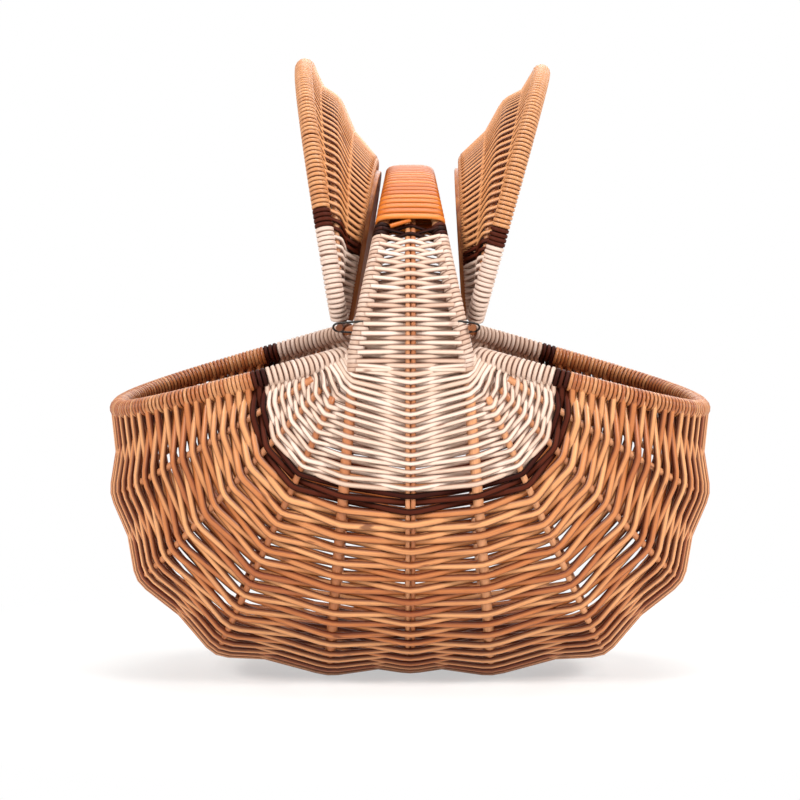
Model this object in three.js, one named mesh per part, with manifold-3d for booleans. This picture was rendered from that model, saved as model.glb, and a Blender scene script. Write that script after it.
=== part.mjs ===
// Willow frame basket with an arched handle and two hinged lids, in millimetres, +Z up.
// A saddle-shaped rim hoop is crossed by the hoops of the handle, and ribs fan out from the two crossings.
// X is the long way of the basket, Y runs from the front crossing at -Y to the back one, z = 0 is the base.

import * as THREE from 'three';
import Module from 'manifold-3d';

const wasm = await Module();
wasm.setup();

// Frame of the basket, measured to the middle of each rod
const crossingHeight = 255.5;
const rimHalfLength = 223;
const rimEndDrop = 50;
const handleHalfDepth = 148;
const handleHalfWidth = 40.5;
const handleTopHalfWidth = 13;
const handleRise = 127;
const handleRibReach = 62;
const fanOffset = 2.5;
const bodyFullness = 2.6;
const handleFullness = 2.2;

// Crowns of the fanned ribs: reach past the end of the rim or short of it, and height above the base
const firstRibOverhang = 2;
const firstRibHeight = 141;
const secondRibInset = 17;
const secondRibHeight = 75;
const thirdRibInset = 75;
const thirdRibHeight = 19;
const ribCrowns = [
  { name: 'rib_1', reach: rimHalfLength + firstRibOverhang, height: firstRibHeight },
  { name: 'rib_2', reach: rimHalfLength - secondRibInset, height: secondRibHeight },
  { name: 'rib_3', reach: rimHalfLength - thirdRibInset, height: thirdRibHeight },
];
const ribStartOffset = 34;

// Rods
const rimRodDiameter = 9;
const handleRodDiameter = 8;
const coreRodDiameter = 5;
const coreRodSpacing = 5.4;
const ribDiameter = 5;
const rodClearance = 0.3;
const rodSides = 5;
const barSides = 10;
const wrapSides = 8;

// Weaving of the basket: lengths run along the middle rib from a crossing
const weaverThickness = 2.8;
const weaverGap = 0.6;
const coreBendHeight = 1.4;
const wallSkinThickness = 3.5;
const wallThickness = 7;
const openBayWidth = 45;
const scallopShare = 0.02;
const rimWrapDiameter = 15;
const crossingWeaveLength = 13;
const crossingLapLength = 3;
const whiteLength = 89;
const darkLength = 15;
const zoneGap = 0.3;
const baseFlatDepth = 1.4;
const naturalSteps = 10;
const naturalRowsPerStep = 8;
const darkRows = 2;
const whiteSteps = 2;

// Weaving of the handle: lengths run along the arch from a crossing
const strapThickness = 12;
const strapOverhang = 6;
const strapLength = 92;
const bandLength = 12;
const strapFlareWidth = 9;
const strapSteps = 3;
const strapEdgeStart = THREE.MathUtils.degToRad(17);
const strapEdgeSteps = 2;
const gripThickness = 17;
const gripOverhang = 5.8;
const gripSteps = 10;

// Lids: reach and rise are measured from the hinge line, in the lid's own frame with its rim lying flat
const hingeOffset = 48.8;
const hingeHeight = 20;
const lidTwist = THREE.MathUtils.degToRad(1.2);
const lidFullness = 2.6;
const lidRimRodDiameter = 7;
const lidRimWrapDiameter = 14;
const lidRibDiameter = 5;
const lidInnerWrapDiameter = 10;
const lidRibWallThickness = 9.6;
const lidWallThickness = 6.4;
const lidOverhang = 4.8;
const lidSetback = 15;
const lidMidInset = 29.5;
const lidMidRise = 18;
const lidMidSetback = 25;
const lidInnerInset = 80;
const lidInnerRise = 38.7;
const lidInnerSetback = 43;
const lidCornerReach = 30;
const lidArchOffset = 6.5;
const leftLidWhiteLength = 76;
const rightLidWhiteLength = 64;
const lidDarkLength = 14;
const lidNaturalSteps = 8;
const lidWhiteSteps = 1;
const barDiameter = 5;
const barOverhang = 6;
const boardThickness = 9;
const boardRise = 8;
const boardClearance = 0.5;
const lids = [
  { name: 'left', turn: Math.PI, open: THREE.MathUtils.degToRad(80.6), whiteLength: leftLidWhiteLength },
  { name: 'right', turn: 0, open: THREE.MathUtils.degToRad(74.5), whiteLength: rightLidWhiteLength },
];

// Wire links of the hinges
const ringWireDiameter = 2;
const ringTilt = THREE.MathUtils.degToRad(45);
const ringLeanRoom = 1.2;
const ringSteps = 10;

const peeledWillow = { color: '#e9cfa8', roughness: 0.55, metalness: 0 };
const naturalWillow = { color: '#c9843f', roughness: 0.5, metalness: 0 };
const darkWillow = { color: '#4b2419', roughness: 0.5, metalness: 0 };
const rodWillow = { color: '#b9793f', roughness: 0.6, metalness: 0 };
const honeyCane = { color: '#d8883c', roughness: 0.4, metalness: 0 };
const brownWood = { color: '#8d4f2c', roughness: 0.45, metalness: 0 };
const darkWire = { color: '#2c2a29', roughness: 0.4, metalness: 0.9 };

const rimFoot = handleHalfWidth + fanOffset;
const rimHalfDepth = handleHalfDepth - (handleRodDiameter + rimRodDiameter) / 2 - rodClearance;
const ribWallThickness = ribDiameter + 2 * wallSkinThickness;
const ribFloor = handleRodDiameter / 2 + rodClearance + weaverThickness - baseFlatDepth;

// The shut lid lies from the hinge to the end of the basket's rim, and a little over it
const lidReach = Math.hypot(rimHalfLength - hingeOffset, rimEndDrop + hingeHeight) + lidOverhang;
const lidArches = [
  { name: 'rim_rod', reach: lidReach, rise: 0, setback: lidSetback, drawIn: 0.09,
    diameter: lidRimRodDiameter },
  { name: 'mid_rib', reach: lidReach - lidMidInset, rise: lidMidRise, setback: lidMidSetback, drawIn: 0.08,
    diameter: lidRibDiameter },
  { name: 'inner_rod', reach: lidReach - lidInnerInset, rise: lidInnerRise, setback: lidInnerSetback,
    drawIn: 0, diameter: lidRibDiameter },
];

const curveDivisions = 400;

const basket = new THREE.Group();

// Half a hoop in a plane that contains the Y direction: a superellipse that leaves its front foot, swings
// out to its crown at y = 0 and returns to its rear foot. drawIn pulls the feet together within cornerReach.
class Arch extends THREE.Curve {
  constructor(foot, crown, halfDepth, fullness, drawIn = 0, cornerReach = 1) {
    super();
    Object.assign(this, { foot, crown, halfDepth, fullness, drawIn, cornerReach });
    this.arcLengthDivisions = curveDivisions;
    this.side = new THREE.Vector3(0, 1, 0).cross(crown.clone().sub(foot)).normalize();
  }

  getPoint(share, target = new THREE.Vector3()) {
    const angle = Math.PI * share;
    const power = 2 / this.fullness;
    const swing = Math.max(Math.sin(angle), 0) ** power;
    const across = Math.sign(Math.cos(angle)) * Math.abs(Math.cos(angle)) ** power;
    target.lerpVectors(this.foot, this.crown, swing);
    const nearness = Math.max(1 - target.distanceTo(this.foot) / this.cornerReach, 0);
    target.y = -this.halfDepth * across * (1 - this.drawIn * nearness ** 2);
    return target;
  }

  shareAt(length) {
    return length / this.getLength();
  }

  stationAt(share) {
    return { point: this.getPointAt(share), along: this.getTangentAt(share), side: this.side };
  }
}

// An arch as its rod is bent: in straight lengths from stop to stop
class BentArch {
  constructor(arch, stops) {
    this.stops = stops;
    this.places = stops.map((stop) => arch.getPointAt(stop));
  }

  lengthAt(share) {
    const next = this.stops.findIndex((stop) => stop > share);
    return next < 0 ? this.stops.length - 2 : next - 1;
  }

  getPointAt(share) {
    const i = this.lengthAt(share);
    const part = (share - this.stops[i]) / (this.stops[i + 1] - this.stops[i]);
    return this.places[i].clone().lerp(this.places[i + 1], part);
  }

  getTangentAt(share) {
    const i = this.lengthAt(share);
    return this.places[i + 1].clone().sub(this.places[i]).normalize();
  }
}

function point(x, z) {
  return new THREE.Vector3(x, 0, z);
}

function evenly(from, to, steps) {
  return Array.from({ length: steps + 1 }, (_, i) => from + ((to - from) * i) / steps);
}

// A closed solid from vertices and triangles, turned so that its faces point out
function solid(vertices, triangles) {
  const corners = triangles.map((corner) => vertices[corner]);
  let volume = 0;
  for (let i = 0; i < corners.length; i += 3) {
    volume += corners[i].dot(corners[i + 1].clone().cross(corners[i + 2]));
  }
  const order = volume < 0 ? triangles.slice().reverse() : triangles;
  return new wasm.Manifold(new wasm.Mesh({
    numProp: 3,
    vertProperties: new Float32Array(vertices.flatMap((vertex) => vertex.toArray())),
    triVerts: new Uint32Array(order),
  }));
}

function quad(a, b, c, d) {
  return [a, b, c, a, c, d];
}

// A skin over a row of rings with equally many corners, capped at both ends or closed on itself
function loft(rings, closed = false) {
  const count = rings[0].length;
  const triangles = [];
  const spans = closed ? rings.length : rings.length - 1;
  for (let i = 0; i < spans; i += 1) {
    const here = i * count;
    const there = ((i + 1) % rings.length) * count;
    for (let k = 0; k < count; k += 1) {
      const next = (k + 1) % count;
      triangles.push(...quad(here + k, here + next, there + next, there + k));
    }
  }
  if (!closed) {
    const last = (rings.length - 1) * count;
    for (let k = 1; k < count - 1; k += 1) {
      triangles.push(0, k + 1, k, last, last + k, last + k + 1);
    }
  }
  return solid(rings.flat(), triangles);
}

function turnedBack(stations) {
  return stations.map(({ point: place, along, side }) => (
    { point: place, along: along.clone().negate(), side: side.clone().negate() })).reverse();
}

// A prism along a row of stations. Its section is a list of [side, normal] corners round each station, and
// lengthen carries the two ends of an open prism on past its stations.
function prism(stations, section, closed = false, lengthen = 0) {
  const rings = stations.map((station, i) => {
    const normal = station.along.clone().cross(station.side).normalize();
    const side = normal.clone().cross(station.along);
    const middle = station.point.clone();
    if (!closed && i === 0) middle.addScaledVector(station.along, -lengthen);
    if (!closed && i === stations.length - 1) middle.addScaledVector(station.along, lengthen);
    return section.map(([u, v]) => middle.clone().addScaledVector(side, u).addScaledVector(normal, v));
  });
  return loft(rings, closed);
}

function rod(stations, diameter, closed = false, sides = rodSides) {
  const corners = evenly(0, 2 * Math.PI, sides).slice(0, -1);
  return prism(stations, corners.map((angle) => [
    diameter / 2 * Math.cos(angle), diameter / 2 * Math.sin(angle)]), closed);
}

function wrap(arch, shares, diameter, grow) {
  const corners = evenly(0, 2 * Math.PI, wrapSides).slice(0, -1);
  const radius = diameter / 2 + grow;
  return prism(shares.map((share) => arch.stationAt(share)), corners.map((angle) => [
    radius * Math.cos(angle), radius * Math.sin(angle)]), false, grow);
}

// The way that a rod takes through the weaving: a square tunnel, clear of the rod all round
function tunnel(stations, width, height, closed = false) {
  const [u, v] = [width / 2 + rodClearance, height / 2 + rodClearance];
  return prism(stations, [[u, v], [-u, v], [-u, -v], [u, -v]], closed, rodClearance);
}

// The way out of a fan's wall at one arch: square to the arch and to the line across its neighbours
function wallNormal(arches, i, share, outward) {
  const before = arches[Math.max(i - 1, 0)].getPointAt(share);
  const across = arches[Math.min(i + 1, arches.length - 1)].getPointAt(share).sub(before);
  const normal = arches[i].getTangentAt(share).cross(across).normalize();
  return normal.dot(outward(arches[i].getPointAt(share))) < 0 ? normal.negate() : normal;
}

// Rows of weavers across a fan of arches. Each runs straight from arch to arch, over one and under the next
// by that arch's lift, and ends in the wrapping of the outer arches. Its section is a low ridge: a flat side
// that faces in, between two shares of every arch, and a crest that faces out. Rows count from firstRow.
function weaverRows(arches, lifts, shares, rows, firstRow, gapShare, endInset, outward) {
  const step = (shares.at(-1) - shares[0]) / rows;
  return wasm.Manifold.union(Array.from({ length: rows }, (_, row) => {
    const start = shares[0] + row * step;
    const corners = [
      { share: start + gapShare / 2, height: -weaverThickness / 2 },
      { share: start + step / 2, height: weaverThickness / 2 },
      { share: start + step - gapShare / 2, height: -weaverThickness / 2 },
    ];
    const rings = arches.map((arch, i) => {
      const lift = (row + firstRow + i) % 2 === 0 ? lifts[i] : -lifts[i];
      return corners.map(({ share, height }) => arch.getPointAt(share)
        .addScaledVector(wallNormal(arches, i, share, outward), lift + height));
    });
    for (const [end, next] of [[rings[0], rings[1]], [rings.at(-1), rings.at(-2)]]) {
      end.forEach((corner, i) => corner.lerp(next[i], endInset / corner.distanceTo(next[i])));
    }
    return loft(rings);
  }));
}

// A woven wall over a fan of arches: a sheet that stands proud at each arch and sinks a little between them
function wovenWall(arches, shares, thickAtArch, thickBetween, outward) {
  const smallStep = 0.002;
  const columns = 2 * arches.length - 1;
  const middle = (column, share) => {
    const near = arches[Math.floor(column / 2)].getPointAt(share);
    return column % 2 === 0 ? near : near.lerp(arches[(column + 1) / 2].getPointAt(share), 0.5);
  };
  const outer = [];
  const inner = [];
  for (const share of shares) {
    for (let column = 0; column < columns; column += 1) {
      const here = middle(column, share);
      const along = middle(column, share + smallStep).sub(middle(column, share - smallStep));
      const before = middle(Math.max(column - 1, 0), share);
      const across = middle(Math.min(column + 1, columns - 1), share).sub(before);
      const normal = along.cross(across).normalize();
      if (normal.dot(outward(here)) < 0) normal.negate();
      const between = column % 2 === 1;
      if (between) here.addScaledVector(normal, -scallopShare * across.length());
      const thinning = between ? Math.min(across.length() / openBayWidth, 1) : 0;
      const half = THREE.MathUtils.lerp(thickAtArch, thickBetween, thinning) / 2;
      outer.push(here.clone().addScaledVector(normal, half));
      inner.push(here.clone().addScaledVector(normal, -half));
    }
  }
  const shift = outer.length;
  const triangles = [];
  for (let row = 0; row < shares.length - 1; row += 1) {
    const here = row * columns;
    const there = here + columns;
    for (let k = 0; k < columns - 1; k += 1) {
      triangles.push(...quad(here + k, here + k + 1, there + k + 1, there + k));
      const [innerHere, innerThere] = [shift + here + k, shift + there + k];
      triangles.push(...quad(innerHere, innerThere, innerThere + 1, innerHere + 1));
    }
    const end = columns - 1;
    triangles.push(...quad(here, there, shift + there, shift + here));
    triangles.push(...quad(here + end, shift + here + end, shift + there + end, there + end));
  }
  const last = (shares.length - 1) * columns;
  for (let k = 0; k < columns - 1; k += 1) {
    triangles.push(...quad(k, shift + k, shift + k + 1, k + 1));
    triangles.push(...quad(last + k, last + k + 1, shift + last + k + 1, shift + last + k));
  }
  return solid([...outer, ...inner], triangles);
}

function cutBy(piece, tools) {
  return tools.reduce((rest, tool) => rest.subtract(tool), piece);
}

// The stretches of weaving over one fan: each is a wall with its edges wrapped round the outer arches, and
// its wall gives way to the wrapping of its neighbours
function weave(parts, edges, wallOf) {
  const names = Object.keys(parts);
  return names.map((name) => {
    const others = names.filter((other) => other !== name);
    const room = others.flatMap((other) => edges.map(
      ([arch, diameter]) => wrap(arch, parts[other], diameter, zoneGap)));
    const wraps = edges.map(([arch, diameter]) => wrap(arch, parts[name], diameter, 0));
    return { name, shape: wraps.reduce((sum, each) => sum.add(each), cutBy(wallOf(name), room)) };
  });
}

function addPiece(parent, name, shape, finish) {
  const mesh = shape.getMesh();
  const geometry = new THREE.BufferGeometry();
  geometry.setAttribute('position', new THREE.BufferAttribute(new Float32Array(mesh.vertProperties), 3));
  geometry.setIndex(new THREE.BufferAttribute(new Uint32Array(mesh.triVerts), 1));
  geometry.computeVertexNormals();
  const piece = new THREE.Mesh(geometry, new THREE.MeshStandardMaterial(finish));
  piece.name = name;
  parent.add(piece);
  return piece;
}

// Arches of the basket's frame, from the left end of the rim round the bottom to the right end
const sideArches = (sign) => {
  const foot = point(sign * rimFoot, crossingHeight);
  const rimCrown = point(sign * rimHalfLength, crossingHeight - rimEndDrop);
  const rim = new Arch(foot, rimCrown, rimHalfDepth, bodyFullness);
  const fan = ribCrowns.map((crown, i) => {
    const inset = (handleHalfDepth - rimHalfDepth) * (ribCrowns.length - i) / (ribCrowns.length + 1);
    return new Arch(foot, point(sign * crown.reach, crown.height), handleHalfDepth - inset, bodyFullness);
  });
  return [rim, ...fan];
};
const lowerArch = (footX, crownX) => new Arch(
  point(footX, crossingHeight), point(crownX, ribFloor), handleHalfDepth, bodyFullness);
const upperArch = (footX, crownX) => new Arch(
  point(footX, crossingHeight), point(crownX, crossingHeight + handleRise), handleHalfDepth, handleFullness);

const middleRib = lowerArch(0, 0);
const middleArch = upperArch(0, 0);
const leftArches = sideArches(-1);
const rightArches = sideArches(1);
const leftRib = lowerArch(-handleHalfWidth, -handleRibReach);
const rightRib = lowerArch(handleHalfWidth, handleRibReach);
const bodyArches = [...leftArches, leftRib, middleRib, rightRib, ...rightArches.slice().reverse()];

// Stretches of weaving, as shares of each arch's length from the front crossing to the back one
const mirrored = (shares) => shares.map((share) => 1 - share).reverse();
function stretches(start, white, dark, gap, whiteCount, naturalCount) {
  const frontWhite = evenly(start, white - gap, whiteCount);
  const frontDark = [white, white + dark - gap];
  return {
    front_white: frontWhite,
    front_dark: frontDark,
    natural: evenly(white + dark, 1 - white - dark, naturalCount),
    back_dark: mirrored(frontDark),
    back_white: mirrored(frontWhite),
  };
}
const willowOf = {
  front_white: peeledWillow,
  front_dark: darkWillow,
  natural: naturalWillow,
  back_dark: darkWillow,
  back_white: peeledWillow,
};
const bodyStretches = stretches(
  middleRib.shareAt(crossingWeaveLength - crossingLapLength), middleRib.shareAt(whiteLength),
  middleRib.shareAt(darkLength), middleRib.shareAt(zoneGap), whiteSteps, naturalSteps);
const rodSharesOf = (parts) => {
  const front = [parts.front_white, parts.front_dark].map((part) => (part[0] + part.at(-1)) / 2);
  return [...front, ...parts.natural.slice(1, -1), ...mirrored(front)];
};
const bodyShares = rodSharesOf(bodyStretches);

const strapShares = evenly(0, middleArch.shareAt(strapLength - zoneGap), strapSteps);
const bandEnds = [strapLength, strapLength + bandLength - zoneGap];
const bandShares = bandEnds.map((length) => middleArch.shareAt(length));
const gripStart = middleArch.shareAt(strapLength + bandLength);
const gripShares = evenly(gripStart, 1 - gripStart, gripSteps);
const frontHandleShares = [...strapShares.slice(1, -1), (bandShares[0] + bandShares[1]) / 2];
const handleShares = [...frontHandleShares, ...gripShares.slice(1, -1), ...mirrored(frontHandleShares)];

// Hoops of the handle: under the basket as a rib from front to back, then over the top from back to front
function handleHoop(below, above) {
  const lower = [0, ...bodyShares, 1].map((share) => below.stationAt(share));
  const upper = handleShares.map((share) => above.stationAt(share));
  return [...lower, ...turnedBack(upper)];
}
const handleRods = [-1, 1].map((sign) => ({
  name: sign < 0 ? 'handle_rod_left' : 'handle_rod_right',
  stations: handleHoop(
    sign < 0 ? leftRib : rightRib, upperArch(sign * handleHalfWidth, sign * handleTopHalfWidth)),
  diameter: handleRodDiameter,
  closed: true,
}));
const coreRods = [-1, 1].map((sign) => {
  const offset = sign * coreRodSpacing / 2;
  return {
    name: sign < 0 ? 'core_rod_left' : 'core_rod_right',
    stations: handleHoop(lowerArch(offset, offset), upperArch(offset, offset)),
    diameter: coreRodDiameter,
    closed: true,
  };
});

// The rim hoop: two tilted half hoops, joined straight across behind the handle at front and back
const rimStations = (arch) => [0, ...bodyShares, 1].map((share) => arch.stationAt(share));
const rightRim = rimStations(rightArches[0]);
const leftRim = turnedBack(rimStations(leftArches[0]));
const rimRod = {
  name: 'rim_hoop',
  stations: [...rightRim, ...leftRim],
  diameter: rimRodDiameter,
  closed: true,
};

const fanRods = [leftArches, rightArches].flatMap((arches, i) => ribCrowns.map((crown, k) => {
  const arch = arches[k + 1];
  const start = arch.shareAt(ribStartOffset);
  const between = bodyShares.filter((share) => share > start && share < 1 - start);
  return {
    name: `${crown.name}_${i === 0 ? 'left' : 'right'}`,
    stations: [start, ...between, 1 - start].map((share) => arch.stationAt(share)),
    diameter: ribDiameter,
    closed: false,
  };
}));

const frameRods = [rimRod, ...handleRods, ...coreRods, ...fanRods];
const [rimTunnel, ...rodTunnels] = [rimRod, ...handleRods, ...fanRods].map(
  (each) => tunnel(each.stations, each.diameter, each.diameter, each.closed));
const coreTunnel = tunnel(
  handleHoop(middleRib, middleArch), coreRodSpacing + coreRodDiameter, coreRodDiameter, true);
const tunnels = [rimTunnel, ...rodTunnels, coreTunnel];
for (const each of frameRods) {
  addPiece(basket, each.name, rod(each.stations, each.diameter, each.closed), rodWillow);
}

// Sections of the handle's weaving: a flat bar with rounded edges, square to the arch
function strapRing(arch, share, overhang, thickness, grow) {
  const upwards = Math.sign(arch.crown.z - arch.foot.z);
  const face = new THREE.Vector3(upwards, 0, 0).cross(arch.getTangentAt(share)).normalize();
  const middle = arch.getPointAt(share);
  const rise = Math.max((middle.z - crossingHeight) / handleRise, 0);
  const half = handleHalfWidth + (handleTopHalfWidth - handleHalfWidth) * rise + overhang + grow;
  const depth = thickness / 2 + grow;
  const corner = evenly(strapEdgeStart, Math.PI / 2, strapEdgeSteps).map(
    (angle) => [half - depth + depth * Math.cos(angle), depth * Math.sin(angle)]);
  const upper = [...corner, ...corner.map(([x, y]) => [-x, y]).reverse()];
  const ring = [...upper, ...upper.map(([x, y]) => [-x, -y])];
  return ring.map(([x, y]) => middle.clone().addScaledVector(face, y).add(point(x, 0)));
}

// The strap starts below the crossing, where it flares into the fan of ribs
function strap(grow) {
  const below = middleRib.shareAt(crossingWeaveLength - zoneGap + grow);
  return loft([
    strapRing(middleRib, below, strapFlareWidth, strapThickness, grow),
    ...strapShares.map((share) => strapRing(middleArch, share, strapOverhang, strapThickness, grow)),
  ]);
}

// Hinge rings: long links of wire, each round an outer rod of the handle and the end of a lid's hinge bar
// beside it. A link slopes between the upright rod and the level bar, so both pass through it aslant.
const hingePoint = (sign) => new THREE.Vector3(sign * hingeOffset, 0, crossingHeight + hingeHeight);
const rings = lids.flatMap((lid) => [-1, 1].map((end) => {
  const sign = lid.turn === 0 ? 1 : -1;
  const height = hingeHeight / handleRise;
  const rodX = sign * (handleHalfWidth + (handleTopHalfWidth - handleHalfWidth) * height);
  const y = end * handleHalfDepth * (1 - height ** handleFullness) ** (1 / handleFullness);
  const barX = sign * hingeOffset + y * Math.tan(lidTwist);
  const bend = (slantHalf) => (
    slantHalf + rodClearance + ringWireDiameter / 2) / Math.cos(Math.PI / ringSteps);
  const rodEnd = { x: rodX, radius: bend(handleRodDiameter / 2 / Math.cos(ringTilt) + ringLeanRoom) };
  const barEnd = { x: barX, radius: bend(barDiameter / 2 / Math.sin(ringTilt)) };
  const placement = new THREE.Matrix4().makeRotationX(end * ringTilt)
    .setPosition(0, y, crossingHeight + hingeHeight);
  const [leftEnd, rightEnd] = sign < 0 ? [barEnd, rodEnd] : [rodEnd, barEnd];
  return { name: `hinge_ring_${lid.name}_${end < 0 ? 'front' : 'back'}`, placement, leftEnd, rightEnd };
}));

function ringStations({ placement, leftEnd, rightEnd }) {
  const axis = new THREE.Vector3(0, 0, 1).transformDirection(placement);
  return evenly(0, 2 * Math.PI, ringSteps).slice(0, -1).map((turn) => {
    const { x, radius } = Math.cos(turn) < 0 ? leftEnd : rightEnd;
    const place = new THREE.Vector3(x + radius * Math.cos(turn), radius * Math.sin(turn), 0);
    return {
      point: place.applyMatrix4(placement),
      along: new THREE.Vector3(-Math.sin(turn), Math.cos(turn), 0).transformDirection(placement),
      side: axis,
    };
  });
}
const ringCuts = rings.map((each) => tunnel(ringStations(each), ringWireDiameter, ringWireDiameter, true));
for (const each of rings) {
  addPiece(basket, each.name, rod(ringStations(each), ringWireDiameter, true), darkWire);
}

// Weaving of the handle: a strap in front and behind, a dark band on each and the cane grip between them
const turnAbout = (shape) => shape.rotate([0, 0, 180]);
function handleWeave(shares, overhang, thickness) {
  return loft(shares.map((share) => strapRing(middleArch, share, overhang, thickness, 0)));
}
const frontStrap = strap(0);
const frontBand = handleWeave(bandShares, strapOverhang, strapThickness);
const handlePieces = [
  ['handle_weave_front', frontStrap, peeledWillow],
  ['handle_weave_back', turnAbout(frontStrap), peeledWillow],
  ['handle_band_front', frontBand, darkWillow],
  ['handle_band_back', turnAbout(frontBand), darkWillow],
  ['handle_grip', handleWeave(gripShares, gripOverhang, gripThickness), honeyCane],
];
for (const [name, shape, finish] of handlePieces) {
  addPiece(basket, name, cutBy(shape, [...tunnels, ...ringCuts]), finish);
}

// Weaving of the basket: a wall for each stretch, wrapped round the rim at both sides and flat at the base
const floorReach = 2 * rimHalfLength;
const underside = loft([-floorReach, 0].map((z) => [[-1, -1], [1, -1], [1, 1], [-1, 1]].map(
  ([x, y]) => new THREE.Vector3(x * floorReach, y * floorReach, z))));
const grownStrap = strap(zoneGap);
const sheetCuts = [grownStrap, turnAbout(grownStrap), ...tunnels];
const awayFromMouth = (place) => place.clone().sub(point(0, crossingHeight));
const bodyEdges = [leftArches[0], rightArches[0]].map((arch) => [arch, rimWrapDiameter]);

// Rows over and under the ribs: each straight length of the ribs carries a whole number of them. The row
// just behind the middle of the base goes over the ribs of the handle, and the basket stands on it.
const bentArches = bodyArches.map((arch) => new BentArch(arch, [0, ...bodyShares, 1]));
const weaverEndInset = (rimRodDiameter + rimWrapDiameter) / 4;
const liftOver = (diameter) => diameter / 2 + rodClearance + weaverThickness / 2;
const fanLifts = [0, ...ribCrowns.map(() => liftOver(ribDiameter)), liftOver(handleRodDiameter)];
const bodyLifts = [...fanLifts, liftOver(coreRodDiameter) + coreBendHeight, ...fanLifts.slice().reverse()];
const naturalRows = naturalSteps * naturalRowsPerStep;
const middleRow = Math.floor(naturalRows / 2);
const weaverCounts = {
  front_dark: { rows: darkRows, firstRow: middleRow + darkRows },
  natural: { rows: naturalRows, firstRow: middleRow },
  back_dark: { rows: darkRows, firstRow: middleRow + naturalRows },
};
const bodyWeave = weave(bodyStretches, bodyEdges, (name) => {
  if (!weaverCounts[name]) {
    const sheet = wovenWall(bodyArches, bodyStretches[name], ribWallThickness, wallThickness, awayFromMouth);
    return cutBy(sheet, sheetCuts);
  }
  const { rows, firstRow } = weaverCounts[name];
  const gapShare = middleRib.shareAt(weaverGap);
  return weaverRows(
    bentArches, bodyLifts, bodyStretches[name], rows, firstRow, gapShare, weaverEndInset, awayFromMouth);
});
for (const { name, shape } of bodyWeave) {
  addPiece(basket, `body_weave_${name}`, cutBy(shape, [underside, rimTunnel]), willowOf[name]);
}

// Lids, each in its own frame: X from the hinge to the rim, Y along the hinge, Z out of the top face
const hinge = new THREE.Vector3(0, 0, 0);
const lidCurves = lidArches.map((arch) => {
  const halfDepth = handleHalfDepth - arch.setback;
  return new Arch(hinge, point(arch.reach, arch.rise), halfDepth, lidFullness, arch.drawIn, lidCornerReach);
});
const [lidRim, , lidInner] = lidCurves;
const barHalfLength = handleHalfDepth + barOverhang;
const up = new THREE.Vector3(0, 0, 1);
const barStations = [-barHalfLength, barHalfLength].map(
  (y) => ({ point: new THREE.Vector3(0, y, 0), along: new THREE.Vector3(0, 1, 0), side: up }));

// The board fills the inner arch, just clear of its wrapping and of the hinge bar
function boardShape(shares) {
  const inset = lidInnerWrapDiameter / 2 + boardClearance;
  const back = barDiameter / 2 + rodClearance;
  const outward = lidInner.crown.clone().normalize();
  const inward = (station) => station.along.clone().cross(station.side).multiplyScalar(inset);
  const round = shares.map((share) => lidInner.stationAt(share))
    .map((station) => station.point.clone().add(inward(station)));
  const corners = [round[0], round.at(-1)].map(
    (place) => outward.clone().multiplyScalar(back).setY(place.y));
  const edge = [corners[0], ...round, corners[1]];
  const face = lidInner.side.clone().negate();
  return loft([boardRise - boardThickness, boardRise].map(
    (height) => edge.map((place) => place.clone().addScaledVector(face, height))));
}

for (const lid of lids) {
  const placed = new THREE.Group();
  placed.position.copy(hingePoint(lid.turn === 0 ? 1 : -1));
  placed.rotation.z = lid.turn - lidTwist;
  const leaf = new THREE.Group();
  leaf.rotation.y = -lid.open;
  placed.add(leaf);
  basket.add(placed);

  const whiteShare = lidRim.shareAt(lid.whiteLength);
  const lidStretches = stretches(
    lidRim.shareAt(lidArchOffset - rodClearance), whiteShare, lidRim.shareAt(lidDarkLength),
    lidRim.shareAt(zoneGap), lidWhiteSteps, lidNaturalSteps);
  const start = lidRim.shareAt(lidArchOffset);
  const shares = [start, ...rodSharesOf(lidStretches), 1 - start];
  const rods = lidArches.map((arch, i) => ({
    ...arch, stations: shares.map((share) => lidCurves[i].stationAt(share)) }));
  const lidTunnels = rods.map((each) => tunnel(each.stations, each.diameter, each.diameter));
  lidTunnels.push(tunnel(barStations, barDiameter, barDiameter));
  addPiece(leaf, `${lid.name}_lid_hinge_bar`, rod(barStations, barDiameter, false, barSides), rodWillow);
  for (const each of rods) {
    addPiece(leaf, `${lid.name}_lid_${each.name}`, rod(each.stations, each.diameter), rodWillow);
  }
  addPiece(leaf, `${lid.name}_lid_board`, boardShape(Object.values(lidStretches).flat()), brownWood);

  const turned = lid.turn !== 0;
  const edges = [[lidRim, lidRimWrapDiameter], [lidInner, lidInnerWrapDiameter]];
  const swapped = { front: 'back', back: 'front' };
  const lidWeave = weave(lidStretches, edges, (name) => wovenWall(
    lidCurves, lidStretches[name], lidRibWallThickness, lidWallThickness, () => up));
  for (const { name, shape } of lidWeave) {
    const label = turned ? name.replace(/front|back/, (end) => swapped[end]) : name;
    addPiece(leaf, `${lid.name}_lid_weave_${label}`, cutBy(shape, lidTunnels), willowOf[name]);
  }
}

export default basket;
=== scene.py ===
import math

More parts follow.
